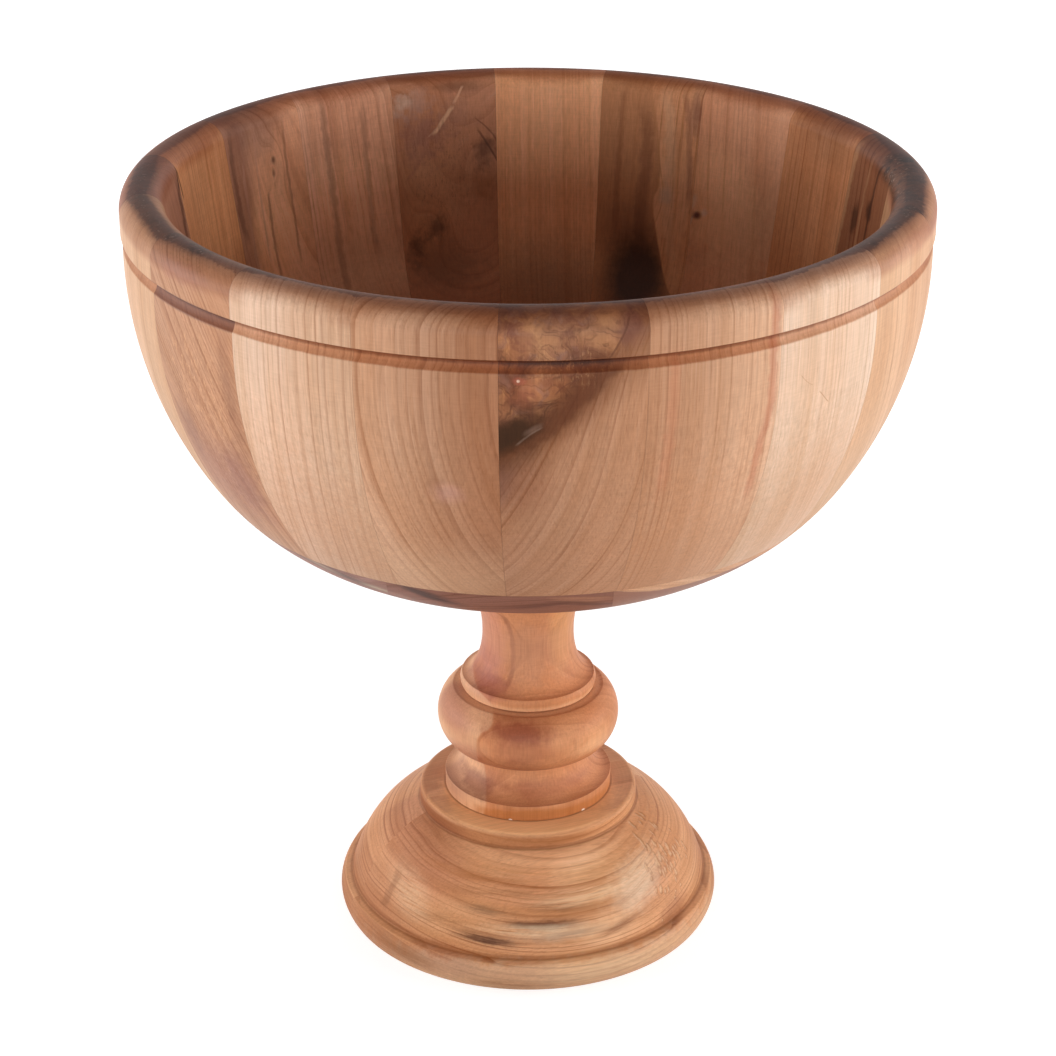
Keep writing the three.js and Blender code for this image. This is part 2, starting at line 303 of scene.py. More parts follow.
def stave_outline():
    foot = board_top + JOINT
    low_start = angle_at(lower_centre, LOWER_ARC_RADIUS, foot)
    low = arc(lower_centre, LOWER_ARC_RADIUS, low_start, -ARC_CHANGE_ANGLE)
    high_end = angle_at(upper_centre, UPPER_ARC_RADIUS, groove_base)
    high = arc(upper_centre, UPPER_ARC_RADIUS, -ARC_CHANGE_ANGLE, high_end)
    band = (lip_radius, groove_top)
    deepest = (lip_radius - GROOVE_DEPTH, groove_top - GROOVE_UNDERCUT)
    groove_sides = [swell(high[-1], deepest, -GROOVE_HOLLOW), swell(deepest, band, -GROOVE_HOLLOW)]
    groove = joined(groove_sides, ease=EASE / 2)
    outside = joined([low + high[1:], groove, line(band, (lip_radius, lip_centre.y))])
    lip = arc(lip_centre, lip_round, 0, 180 - INSIDE_TAPER)
    inside_end = angle_at(inside_centre, INSIDE_CORNER_RADIUS, foot)
    corner = arc(inside_centre, INSIDE_CORNER_RADIUS, -INSIDE_TAPER, inside_end)
    wall = line(lip[-1], corner[0])
    joint = line(corner[-1], outside[0])
    return [*outside, *lip[1:], *wall[1:], *corner[1:], *joint[1:-1]]


# Meshes

def placed(name, data):
    """A new object in the scene."""
    piece = bpy.data.objects.new(name, data)
    bpy.context.scene.collection.objects.link(piece)
    return piece


def show(node, mesh, material):
    """Puts a finished mesh in the scene in place of a solid node of the part."""
    piece = placed(node + "_turned", mesh)
    mesh.materials.append(material)
    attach(piece, "root")
    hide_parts(node)


def smooth_mesh(name, form):
    mesh = bpy.data.meshes.new(name)
    bmesh.ops.remove_doubles(form, verts=form.verts, dist=SAME_POINT)
    bmesh.ops.recalc_face_normals(form, faces=form.faces)
    form.to_mesh(mesh)
    form.free()
    mesh.shade_smooth()
    mesh.set_sharp_from_angle(angle=math.radians(SHARP_ANGLE))
    return mesh


def swept(outline, start, sweep, steps, shrink=0.0):
    """A closed outline swept round the axis. A part of a turn gets flat ends, drawn in by the shrink."""
    form = bmesh.new()
    whole = sweep >= 360
    rows = []
    for i in range(steps if whole else steps + 1):
        row = []
        for radius, height in outline:
            inset = shrink / radius if radius > shrink and not whole else 0
            angle = math.radians(start) + inset + (math.radians(sweep) - 2 * inset) * i / steps
            row.append(form.verts.new((radius * math.sin(angle), -radius * math.cos(angle), height)))
        rows.append(row)
    pairs = zip(rows, rows[1:] + rows[:1] if whole else rows[1:])
    for row, following in pairs:
        for j in range(len(outline)):
            k = (j + 1) % len(outline)
            form.faces.new((row[j], following[j], following[k], row[k]))
    if not whole:
        form.faces.new(rows[0])
        form.faces.new(rows[-1][::-1])
    return form


def board_between(form, low, high):
    """The part of a form between two upright planes across X, with its cut faces closed."""
    form = form.copy()
    for place, keep in ((low, 1), (high, -1)):
        if place is None:
            continue
        cut = bmesh.ops.bisect_plane(
            form, geom=[*form.verts, *form.edges, *form.faces], plane_co=(place + keep * JOINT, 0, 0),
            plane_no=(keep, 0, 0), clear_inner=True)
        edges = [part for part in cut["geom_cut"] if isinstance(part, bmesh.types.BMEdge)]
        bmesh.ops.contextual_create(form, geom=edges)
    return form


# Shader fields: arithmetic on the outputs of nodes, so that a pattern reads as a formula.

def colour(text):
    """An sRGB colour such as "#C98A62" as a linear RGBA value."""
    parts = (int(text[i:i + 2], 16) / 255 for i in (1, 3, 5))
    return (*(p / 12.92 if p <= 0.04045 else ((p + 0.055) / 1.055) ** 2.4 for p in parts), 1)


class Field:
    """A value that varies over a surface."""

    def __init__(self, tree, socket):
        self.tree = tree
        self.socket = socket

    def node(self, kind, *inputs, output=0, **settings):
        """A new node with its inputs linked or set in order; None leaves one as it is."""
        new = self.tree.nodes.new(kind)
        for name, value in settings.items():
            setattr(new, name, value)
        for slot, value in zip((s for s in new.inputs if s.enabled), inputs):
            if isinstance(value, Field):
                self.tree.links.new(value.socket, slot)
            elif value is not None:
                slot.default_value = value
        return Field(self.tree, new.outputs[output])

    def math(self, operation, *others):
        return self.node("ShaderNodeMath", self, *others, operation=operation)

    def vector_math(self, operation, *others, output=0):
        return self.node("ShaderNodeVectorMath", self, *others, operation=operation, output=output)

    def __add__(self, other):
        return self.math("ADD", other)

    def __sub__(self, other):
        return self.math("SUBTRACT", other)

    def __rsub__(self, other):
        return self.math("MULTIPLY_ADD", -1.0, other)

    def __mul__(self, other):
        return self.math("MULTIPLY", other)

    def __truediv__(self, other):
        return self.math("DIVIDE", other)

    def __pow__(self, other):
        return self.math("POWER", other)

    __radd__ = __add__
    __rmul__ = __mul__

    def step(self, low, high):
        """0 below low, 1 above high, smooth between; low may be the larger."""
        if low > high:
            return 1 - self.step(high, low)
        return self.node("ShaderNodeMapRange", self, low, high, 0.0, 1.0, interpolation_type="SMOOTHSTEP")

    def parts(self):
        node = self.tree.nodes.new("ShaderNodeSeparateXYZ")
        self.tree.links.new(self.socket, node.inputs[0])
        return [Field(self.tree, output) for output in node.outputs]

    def times(self, x, y, z):
        """A place or a colour multiplied part by part."""
        return self.vector_math("MULTIPLY", (x, y, z))

    def turned(self, origin, turn):
        """A point as seen from a frame at the origin, turned by three angles."""
        angles = [math.radians(a) for a in turn]
        return self.node("ShaderNodeMapping", self, origin, angles, (1.0, 1.0, 1.0), vector_type="TEXTURE")

    def noise(self, scale=1.0, detail=2.0, rough=0.5):
        """Fractal noise about 0, mostly within -1 and 1, of a vector field."""
        value = self.node("ShaderNodeTexNoise", self, scale, detail, rough, noise_dimensions="3D")
        return (value - 0.5) * 2.0

    def noise_1d(self, detail=1.0):
        tex = self.tree.nodes.new("ShaderNodeTexNoise")
        tex.noise_dimensions = "1D"
        tex.inputs["Scale"].default_value = 1.0
        tex.inputs["Detail"].default_value = detail
        self.tree.links.new(self.socket, tex.inputs["W"])
        return (Field(self.tree, tex.outputs[0]) - 0.5) * 2.0

    def cell_edge(self, scale):
        """The distance to the nearest edge between irregular cells, in cell widths."""
        return self.node("ShaderNodeTexVoronoi", self, scale, feature="DISTANCE_TO_EDGE")

    def random(self):
        return self.node("ShaderNodeTexWhiteNoise", self, noise_dimensions="1D", output=0)

    def through(self, points):
        """The smooth curve through (input, output) points, level beyond its ends."""
        places, values = zip(*points)
        low, high, least = min(places), max(places), min(values)
        spread = max(max(values) - least, 0.001)
        share = self.node("ShaderNodeMapRange", self, low, high, 0.0, 1.0)
        node = self.tree.nodes.new("ShaderNodeFloatCurve")
        curve = node.mapping.curves[0]
        for i, (place, value) in enumerate(sorted(points)):
            point = ((place - low) / (high - low), (value - least) / spread)
            if i < 2:
                curve.points[i].location = point
            else:
                curve.points.new(*point)
        node.mapping.update()
        self.tree.links.new(share.socket, node.inputs["Value"])
        return Field(self.tree, node.outputs[0]) * spread + least


def coordinate(tree, kind):
    return Field(tree, tree.nodes.new("ShaderNodeTexCoord").outputs[kind])


def new_material(name):
    """A material with its node tree and its shader."""
    material = bpy.data.materials.new(name)
    material.use_nodes = True
    return material, material.node_tree, material.node_tree.nodes["Principled BSDF"]


def vector(x, y, z):
    field = next(part for part in (x, y, z) if isinstance(part, Field))
    return field.node("ShaderNodeCombineXYZ", x, y, z)


def blend(amount, first, second):
    """Colours mixed by an amount; a colour is a field, an RGBA value or sRGB text."""
    tree = amount.tree
    node = tree.nodes.new("ShaderNodeMix")
    node.data_type = "RGBA"
    tree.links.new(amount.socket, node.inputs["Factor"])
    for slot, value in ((node.inputs[6], first), (node.inputs[7], second)):
        if isinstance(value, Field):
            tree.links.new(value.socket, slot)
        else:
            slot.default_value = colour(value) if isinstance(value, str) else value
    return Field(tree, node.outputs[2])


class Marks:
    """A point's place in millimetres, for marks at chosen places.

    x, y and z are in the board's own frame; radius and height are from the turning axis and the ground.
    Marks that are on the front only are left off the floor of the bowl too.
    """

    def __init__(self, board_place, place, front_only):
        self.x, self.y, self.z = board_place.times(1000, 1000, 1000).parts()
        world_x, world_y, self.height = place.times(1000, 1000, 1000).parts()
        self.radius = (world_x * world_x + world_y * world_y) ** 0.5
        self.ragged = place.noise(scale=230, detail=3, rough=0.6)
        self.place = place
        self.facing = None
        if front_only:
            out = (self.radius - inside_centre.x * 1000).math("MAXIMUM", 0.0)
            down = self.height - inside_centre.y * 1000
            under_hollow = (out * out + down * down) ** 0.5 - INSIDE_CORNER_RADIUS * 1000
            self.facing = world_y.step(4, -4) * under_hollow.step(2, 5)

    def shown(self, mask):
        return mask * self.facing if self.facing else mask

    def oval(self, x, z, wide, tall, turn, soft, ragged):
        """1 in an oval of these half sizes, falling to 0 at its ragged edge."""
        a = math.radians(turn)
        off_x, off_z = self.x - x, self.z - z
        across = (off_x * math.cos(a) + off_z * math.sin(a)) / wide
        along = (off_z * math.cos(a) - off_x * math.sin(a)) / tall
        reach = (across * across + along * along) ** 0.5 + self.ragged * ragged
        return self.shown(reach.step(1.0, 1.0 - soft))

    def inner_side(self):
        """1 in the inner half of a stave, 0 in its outer half. Below 229 mm the wall curves inwards."""
        return (self.y + (self.z - 229).math("MINIMUM", 0.0) * 0.65).step(16, 20)

    def past(self, points):
        """How far a point lies to the +x side of a line through points (x, z)."""
        return self.x - self.z.through([(z, x) for x, z in points])


def mark(paint):
    """Makes a mark of a function, a stain or painted light or shade: called with a mark's sizes, it gives
    what paints that mark on wood.
    """
    def sized(*sizes, **settings):
        return lambda base, marks: paint(base, marks, *sizes, **settings)
    return sized


@mark
def spot(base, marks, tone, amount, x, z, wide, tall, turn=0, soft=0.7, ragged=0.35):
    """A stain in an oval; some calls paint light or shade with it."""
    return blend(marks.oval(x, z, wide, tall, turn, soft, ragged) * amount, base, tone)


@mark
def faint(base, marks, tone, amount, x, z, wide, tall, turn=0, ragged=0.35):
    """A stain in an oval that fades all the way from its middle; some calls paint light or shade with it.
    """
    return blend(marks.oval(x, z, wide, tall, turn, 0.9, ragged) * amount, base, tone)


@mark
def trail(base, marks, tone, amount, width, *points):
    """A stained line through points (x, z), fading out at both ends."""
    low, high = min(z for x, z in points), max(z for x, z in points)
    fade = (high - low) * 0.2
    mask = (marks.past(points) + marks.ragged * width * 0.3).math("ABSOLUTE").step(width / 2, width / 8)
    ends = marks.z.step(low - fade / 2, low + fade / 2) * marks.z.step(high + fade / 2, high - fade / 2)
    return blend(marks.shown(mask * ends) * amount, base, tone)


@mark
def beside(base, marks, tone, amount, side, fade, *points):
    """A stain on one side, +1 or -1 along x, of a line through points (x, z)."""
    return blend((marks.past(points) * side).step(0, fade) * amount, base, tone)


@mark
def under(base, marks, tone, amount, fade, *points):
    """A stain below a line through points (x, z)."""
    drop = marks.x.through(points) - marks.z + marks.ragged * 0.6
    return blend(marks.shown(drop.step(0, fade)) * amount, base, tone)


@mark
def only(base, marks, side, points, *painted_marks):
    """Marks kept to one side, +1 or -1 along x, of a line through points (x, z)."""
    stained = base
    for painted_mark in painted_marks:
        stained = painted_mark(stained, marks)
    return blend((marks.past(points) * side).step(0, 1.2), base, stained)


@mark
def within_bowl(base, marks, painted_mark):
    """A mark kept to the inner half of a stave."""
    return blend(marks.inner_side(), base, painted_mark(base, marks))


@mark
def streaked(base, marks, tone, amount, x, z, wide, tall, turn=0):
    """A stain in an oval, broken into streaks along it; some calls paint highlights with it."""
    rise = marks.z - marks.x * math.tan(math.radians(turn))
    streaks = vector(marks.x * 0.05, marks.y * 0.05, rise * 1.2).noise(detail=3, rough=0.7)
    mask = marks.oval(x, z, wide, tall, turn, 0.9, 0.15) * streaks.step(-0.45, 0.15)
    return blend(mask * amount, base, tone)


@mark
def flecks(base, marks, tone, amount, x, z, wide, tall, side=1):
    """Short specks along the board in an oval. Those of side -1 lie between those of side 1."""
    specks = (marks.place.times(900, 900, 260).noise(detail=3, rough=0.8) * side).step(0.05, 0.35)
    return blend(marks.oval(x, z, wide, tall, 0, 0.9, 0.3) * specks * amount, base, tone)


@mark
def tone_and_painted_light(base, marks, red, green, blue, x, z, wide, tall, turn=0, soft=0.8):
    """Wood made lighter or darker in each part, in an oval: partly the wood's own tone, partly painted
    light and shade.
    """
    return blend(marks.oval(x, z, wide, tall, turn, soft, 0.15), base, base.times(red, green, blue))


@mark
def graded_tone_and_light(base, marks, left, right):
    """Wood that changes across a stave, by three factors at its -x edge and three at its +x edge: partly
    the wood's own tone, partly painted light and shade.
    """
    return base.vector_math("MULTIPLY", blend(marks.x.step(-26, 26), (*left, 1), (*right, 1)))


@mark
def painted_ring_shading(base, marks, tone, amount, radius, height, reach):
    """Painted shade along a turned ring, here in metres; a pale tone makes it painted light against that
    shade.
    """
    out = (marks.radius - radius * 1000) / (reach * 1000)
    up = (marks.height - height * 1000) / (reach * 1000)
    near = (out * out + up * up) ** 0.5 + marks.ragged * 0.25
    return blend(near.step(1.0, 0.3) * amount, base, tone)


@mark
def grime(base, marks, tone, amount, start, end, depth, inner=30):
    """Dark handled wood on the lip, between two places along it and two depths inwards."""
    along = marks.x + marks.ragged * 6
    inwards = marks.y + marks.ragged * 1.4
    mask = along.step(start - 7, start + 7) * along.step(end + 7, end - 7)
    mask = mask * inwards.step(depth - 2.0, depth + 1.6) * inwards.step(inner + 2, inner - 2)
    mask = mask * (marks.z + marks.ragged * 2).step(300, 304)
    cloud = marks.place.noise(scale=170, detail=4, rough=0.7)
    worn = blend(cloud.step(-0.35, 0.35), tone, "#8A5C42")
    specks = marks.place.noise(scale=620, detail=3, rough=0.7).step(0.12, 0.34) * cloud.step(0.4, -0.2)
    return blend(mask * amount, base, blend(specks * 0.75, worn, "#BCA894"))


@dataclass
class Board:
    """One board: where it lies, how its growth rings run, its colour and its marks.

    The rings lie across it at an angle. Their width, their radius and how far they wander are in mm.
    """
    origin: tuple
    turn: tuple
    tone: str
    across: float
    ring: float
    curve: float
    wander: float = 2.0
    lines: float = 0.5
    lean: float = 0
    seed: int = 0
    knots: tuple = ()
    marks: tuple = ()
    burl: bool = False
    front_only: bool = False
    contrast: float = 1.0
    lip: tuple = None
    end_grain: float = 0.8


def shade(tone, red, green, blue):
    """A colour made lighter or darker in each part."""
    return (tone[0] * red, tone[1] * green, tone[2] * blue, 1)


def wood(name, board, in_stave=False):
    """Solid wood: growth rings, fibres, end grain and turning marks, from a point's place in the board."""
    material, tree, shader = new_material(name)
    place = coordinate(tree, "Object")
    normal = coordinate(tree, "Normal")
    in_board = place.turned(board.origin, board.turn)
    marks = Marks(place if board.front_only else in_board, place, board.front_only)
    grain_place = in_board.turned((0, 0, 0.25), (0, board.lean, 0)) if board.lean else in_board
    grain_normal = normal.turned((0, 0, 0), board.turn).turned((0, 0, 0), (0, board.lean, 0))
    x, y, z = grain_place.parts()
    shifted = grain_place.vector_math("ADD", (board.seed * 1.37, board.seed * 2.11, board.seed * 0.73))

    ring_width = board.ring / 1000
    ring_radius = board.curve / 1000
    wander = board.wander / 1000
    direction = math.radians(board.across)
    depth = x * math.cos(direction) + y * math.sin(direction)
    side = y * math.cos(direction) - x * math.sin(direction)
    drift = shifted.times(18, 18, 5).noise(detail=2) * wander
    s = depth + side * side / (2 * ring_radius) + drift + board.seed * 0.131
    for knot_x, knot_z, reach, push in board.knots:
        off_x, off_z = (marks.x - knot_x) / reach, (marks.z - knot_z) / (reach * 1.6)
        s = s + ((off_x * off_x + off_z * off_z) * -1).math("EXPONENT") * (push / 1000)
    # Below the burl the grain bends towards it, and in the burl it swirls.
    if board.burl:
        into = burl_depth(marks)
        s = s - (into.math("MINIMUM", 0.0) / 10).math("EXPONENT") * 0.011
        s = s + into.step(0, 6) * shifted.noise(scale=75, detail=2) * 0.012

    # Growth rings: each ring darkens towards its end, some much more than others.
    phase = s / ring_width + (s / (ring_width * 5)).noise_1d() * 1.6
    within = phase.math("FRACT")
    ring = phase.math("FLOOR").random()
    late = within.step(0.55, 0.95) * within.step(1.0, 0.96)
    fade = shifted.times(30, 30, 9).noise(detail=1).step(-0.7, 0.5)
    growth = late * (ring ** 1.4 * 0.8 + 0.2) * (fade * 0.6 + 0.4)
    bands = (s / (ring_width * 3.3)).noise_1d(detail=1)

    # Streaks run with the rings and break off along the board; dashes are its pores.
    streak = vector(s * 900, side * 25, z * 22 + board.seed).noise(detail=3, rough=0.7)
    dashes = shifted.times(1500, 1500, 150).noise(detail=1).step(0.12, 0.5)
    fibre = shifted.times(1300, 1300, 30).noise(detail=2, rough=0.65)
    blotch = shifted.times(24, 24, 9).noise(detail=2)
    warmth = shifted.times(38, 38, 16).noise(detail=2)
    swirl = vector(marks.radius * 1.5, marks.height * 1.5, marks.x * 0.14 + warmth)
    turning = swirl.noise(detail=2, rough=0.7)

    base = colour(board.tone)
    strength = board.contrast
    pale = shade(base, 1 + 0.10 * strength, 1 + 0.14 * strength, 1 + 0.20 * strength)
    deep = shade(base, 1 - 0.10 * strength, 1 - 0.16 * strength, 1 - 0.22 * strength)
    bright = shade(base, 1.22, 1.34, 1.48)
    dark = shade(base, 0.48, 0.31, 0.20)
    lines = board.lines
    if board.burl:
        lines = into.step(-26, -3) * 0.35 + lines
    tone = blend((bands * 0.5 + blotch * 0.45 + 0.5).step(0.0, 1.0), pale, deep)
    tone = blend(streak.step(-0.05, -0.65) * 0.55, tone, bright)
    tone = blend((growth + streak.step(0.0, 0.75) * 0.75) * lines, tone, dark)
    tone = blend(dashes * 0.30 * lines, tone, dark)
    tone = tone.vector_math("MULTIPLY", vector(warmth * 0.05 + 1, warmth * -0.03 + 1, warmth * -0.09 + 1))
    if board.burl:
        tone = burl_tone(tone, marks)
    # The board's marks in turn: stains and tints, and in places painted light and shade.
    for painted_mark in board.marks:
        tone = painted_mark(tone, marks)
    # Faces cut across the fibres are darker and duller.
    cut = grain_normal.parts()[2].math("ABSOLUTE")
    tone = blend(cut.step(0.68, 0.97) * board.end_grain, tone, tone.times(0.62, 0.52, 0.50))
    if in_stave:
        tone = stave_wear_and_shade(tone, marks, board.lip)
    light = fibre * 0.22 + turning * 0.10 + 1.0
    # A hairline of shade along both seams of a stave.
    if in_stave:
        half = math.radians(180 / STAVE_COUNT)
        gap = (lip_radius * 1000 - marks.y) * math.sin(half) - marks.x.math("ABSOLUTE") * math.cos(half)
        light = light * (1 - gap.step(0.25, 0.05) * 0.14)
    tone = tone.vector_math("MULTIPLY", vector(light, light, light))

    height = fibre * 0.4 - growth * 0.3 + turning * 0.4
    bump = tree.nodes.new("ShaderNodeBump")
    bump.inputs["Strength"].default_value = 0.25
    bump.inputs["Distance"].default_value = 0.00010
    tree.links.new(height.socket, bump.inputs["Height"])
    shader.inputs["Specular IOR Level"].default_value = 0.11
    gloss = fibre * 0.05 + blotch * 0.05 + cut.step(0.4, 1.0) * 0.12 + 0.44
    tree.links.new(tone.socket, shader.inputs["Base Color"])
    tree.links.new(gloss.socket, shader.inputs["Roughness"])
    tree.links.new(bump.outputs["Normal"], shader.inputs["Normal"])
    return material


def stave_wear_and_shade(tone, marks, lip):
    """The lip darkened by handling, painted shade on the low inside, finish gathered in the groove and a
    painted shadow line under the band.
    """
    amount, start, end = lip
    mottle = marks.place.noise(scale=420, detail=3, rough=0.7)
    over = marks.y + marks.ragged * 0.8
    top = marks.z.step(298, 302)
    burnished = over.step(start - 7.7, start - 4.2) * over.step(end + 7, end + 3.5) * top
    handled = (over + mottle * 1.8).step(start - 0.6, start + 0.6) * over.step(end + 0.8, end - 0.8) * top
    tone = blend(burnished * amount, tone, tone.times(0.63, 0.46, 0.37))
    tone = blend(handled * amount, tone, tone.times(0.46, 0.40, 0.44))
    # Painted shade: the inner side darker towards the bottom of the bowl.
    painted_low_shade = marks.z.step(234, 212) * marks.inner_side()
    tone = blend(painted_low_shade, tone, tone.times(0.68, 0.56, 0.48))
    low, high = groove_base * 1000, groove_top * 1000
    under_band = marks.z.step(high + 0.3, high)
    outside = marks.y.step(8, 6)
    groove = (marks.z + marks.ragged * 0.3).step(low - 0.3, low + 0.4) * under_band * outside
    # Painted shadow: a dark line under the band's undercut.
    painted_undercut_shadow = (marks.z + marks.ragged * 0.5).step(high - 2.4, high - 1.3) * under_band * outside
    tone = blend(groove * 0.9, tone, tone.times(0.75, 0.51, 0.37))
    return blend(painted_undercut_shadow * 0.85, tone, tone.times(0.40, 0.30, 0.25))


def burl_depth(marks):
    """How far a point lies above a line that rises to the right beside the knot of the figured stave."""
    return (marks.z - marks.x - 281) / math.sqrt(2)


def burl_tone(tone, marks):
    """Swirled wood round the knot: orange-brown between dark loops and cracks."""
    into = burl_depth(marks) + marks.ragged * 3
    plain = marks.oval(-19, 300, 10, 8, 0, 0.5, 0.3)
    inside = into.step(-1.5, 2.5)
    warp = marks.place.noise(scale=70, detail=3)
    other = marks.place.vector_math("ADD", (0.3, 0.1, 0.2)).noise(scale=70, detail=3)
    warped = marks.place.vector_math("ADD", vector(warp * 0.010, other * 0.006, other * 0.010))
    edge = warped.cell_edge(85)
    fresh = marks.place.noise(scale=45, detail=1).step(-0.6, 0.0) * (1 - plain)
    broken = marks.ragged.step(-0.2, 0.3)
    cloud = warped.noise(scale=95, detail=3, rough=0.6)
    wild = blend(cloud.step(-0.40, 0.40), "#B27C56", "#744638")
    wild = blend(warped.noise(scale=150, detail=3).step(0.0, 0.35) * 0.60, wild, "#86645A")
    wild = blend(warped.noise(scale=230, detail=3).step(0.15, 0.5) * 0.50, wild, "#C89668")
    wild = blend(warped.noise(scale=330, detail=3, rough=0.7).step(0.1, 0.5) * 0.50, wild, "#6A4030")
    loops = ((edge * 4.5 + cloud * 0.8).math("FRACT") - 0.5).math("ABSOLUTE").step(0.14, 0.0)
    wild = blend(loops * fresh * 0.50, wild, "#5E3828")
    wild = blend(edge.step(0.22, 0.02) * fresh * 0.35, wild, "#6A3E28")
    wild = blend(edge.step(0.06, 0.0) * fresh * broken * 0.60, wild, "#40221A")
    tone = blend(inside * 0.88, tone, wild)
    shadow = into.step(-18, -2) * into.step(6, 0)
    return blend(shadow * 0.60, tone, "#704024")


# Pieces

def tear_grain(mesh):
    """Shallow dents where the turning tool tore short fibres out of the dome, kept as an attribute too."""
    draw = random.Random(TORN_SEED)
    tears = []
    for _ in range(TORN_COUNT):
        along, up = draw.gauss(0, TORN_SPREAD), draw.gauss(0, TORN_SPREAD)
        size = draw.uniform(*TORN_HALF_LENGTHS), draw.uniform(*TORN_HALF_WIDTHS)
        tears.append((along + up * 0.25, up, *size))
    torn = mesh.attributes.new("torn", "FLOAT", "POINT")
    centre = Vector((math.sin(math.radians(TORN_AZIMUTH)), -math.cos(math.radians(TORN_AZIMUTH))))
    for vertex in mesh.vertices:
        flat = vertex.co.xy
        if flat.length < TORN_INNER_RADIUS or flat.normalized().dot(centre) < TORN_LIMIT:
            continue
        along = centre.angle_signed(flat.normalized()) * -TORN_RADIUS
        up = (vertex.co.z * 1000 - TORN_HEIGHT) * TORN_SLOPE
        depth = 0
        for tear_along, tear_up, half_length, half_width in tears:
            off_up = up - tear_up
            off_along = along - tear_along - off_up * 0.2
            reach = (off_up / half_length) ** 2 + (off_along / half_width) ** 2
            depth = max(depth, 1 - reach)
        if depth > 0:
            torn.data[vertex.index].value = depth
            vertex.co = vertex.co - vertex.normal * TORN_DEPTH * depth


def torn_stain(base, marks):
    """Raw wood in the torn places, paler in the middle and dark at the edge."""
    torn = marks.x.node("ShaderNodeAttribute", output=2, attribute_name="torn")
    base = blend(torn.step(0.0, 0.3) * 0.35, base, "#8A5A3C")
    return blend(torn.step(0.3, 0.9) * 0.55, base, "#DCB48E")


def add_base():
    outline = base_outline()
    crease_height = FLANGE_HEIGHT + LEDGE_RISE
    plate_foot = crease_height + DOME_HEIGHT + SHOULDER_RISE
    marks = (
        # Painted light on the top of the plate.
        spot("#FFC48C", 0.5, 0, 53.4, 60, 2.7, soft=0.2, ragged=0.1),
        spot("#94552C", 0.6, -12, 47.6, 48, 3.4, soft=0.4, ragged=0.1),
        # Lighter and darker ovals on the dome, flange and plate: partly the wood's own tone, partly painted
        # light and shade.
        tone_and_painted_light(1.28, 1.36, 1.48, 4, 41.5, 46, 6),
        tone_and_painted_light(1.12, 1.1, 1.16, -2, 34, 34, 7),
        tone_and_painted_light(0.84, 0.77, 0.74, -2, 5, 32, 8),
        tone_and_painted_light(0.8, 0.72, 0.76, -42, 38, 28, 15),
        tone_and_painted_light(1.22, 1.42, 1.6, 24, 37, 22, 11),
        tone_and_painted_light(1.2, 1.36, 1.55, 31, 19, 18, 9),
        tone_and_painted_light(0.8, 0.68, 0.66, 45, 28, 13, 8),
        tone_and_painted_light(0.72, 0.64, 0.62, 58, 15, 8, 7),
        tone_and_painted_light(0.72, 0.61, 0.63, -33, 8, 22, 9),
        tone_and_painted_light(1.22, 1.34, 1.36, 18, 10.5, 24, 5),
        spot("#6E3A1C", 0.75, 6, 24.6, 16, 1.7, turn=-1, soft=0.8, ragged=0.5),
        streaked("#5E2C14", 1, 5, 24.4, 24, 3.2, turn=-1),
        streaked("#84502F", 0.75, 12, 29.8, 22, 2.2, turn=-4),
        streaked("#8A6549", 0.7, -17, 28.4, 15, 2.4),
        spot("#6A4632", 0.65, -16, 18.4, 12, 1.8, turn=-3, soft=0.8, ragged=0.5),
        streaked("#5E3824", 1, -17, 18.6, 20, 3.4, turn=-3),
        streaked("#7A4C32", 0.7, 14, 20.2, 20, 2.4, turn=4),
        streaked("#7E4C30", 0.7, 36, 19.5, 14, 2.6, turn=12),
        streaked("#94643F", 0.55, -36, 22, 17, 3.2, turn=8),
        streaked("#A06A44", 0.6, -10, 34, 40, 2.4, turn=2),
        streaked("#EBC9A2", 0.55, 0, 22.8, 30, 3),
        streaked("#EBC9A2", 0.45, 20, 32, 30, 4),
        # Painted highlight on the left of the dome.
        streaked("#E9C6A0", 0.4, -47, 26, 12, 11),
        streaked("#A8693F", 0.6, -20, 37.5, 34, 2.4),
        streaked("#A8693F", 0.55, 20, 34, 32, 2.2, turn=3),
        # Painted highlight on the right of the dome.
        streaked("#E4C4A4", 0.45, 44, 31, 12, 13, turn=20),
        streaked("#DDBB94", 0.45, 30, 6, 40, 6),
        spot("#D6BA9C", 0.32, 10, 5, 90, 9, soft=0.4),
        faint("#E2C6A6", 0.35, 14, 21, 28, 4.5),
        # Painted highlight on the right of the dome.
        faint("#EACEAE", 0.4, 42, 30, 16, 11),
        streaked("#8A5A38", 0.55, -50, 7, 22, 5, turn=-8),
        streaked("#8A5A38", 0.45, -8, 3, 24, 3),
        trail("#8E5C3A", 0.42, 3.6, (-58, 16.9), (-54, 25), (-51, 31)),
        # Painted shade in the creases at the ledge, at the foot of the plate and where the foot ring stands
        # on the plate.
        painted_ring_shading("#80461F", 0.55, BASE_RADIUS - LEDGE_WIDTH, crease_height, 0.0019),
        painted_ring_shading("#7E4A2A", 0.6, PLATE_RADIUS, plate_foot, 0.0014),
        painted_ring_shading("#7C4A2C", 0.55, FOOT_RING_RADIUS, plate_top, 0.001),
        torn_stain,
    )
    for node, edge, seed in (("base_board_front", -90, 3), ("base_board_back", 90, 4)):
        board = Board((0, 0, 0), (90, 0, BASE_JOINT_ANGLE - 90), "#C88F64", across=87, ring=1.9, curve=800,
                      wander=2.8, lines=0.8, seed=seed, marks=marks, front_only=True, contrast=1.4)
        form = swept(outline, BASE_JOINT_ANGLE + edge, sweep=180, steps=300, shrink=JOINT)
        mesh = smooth_mesh(node, form)
        tear_grain(mesh)
        show(node, mesh, wood(node, board))


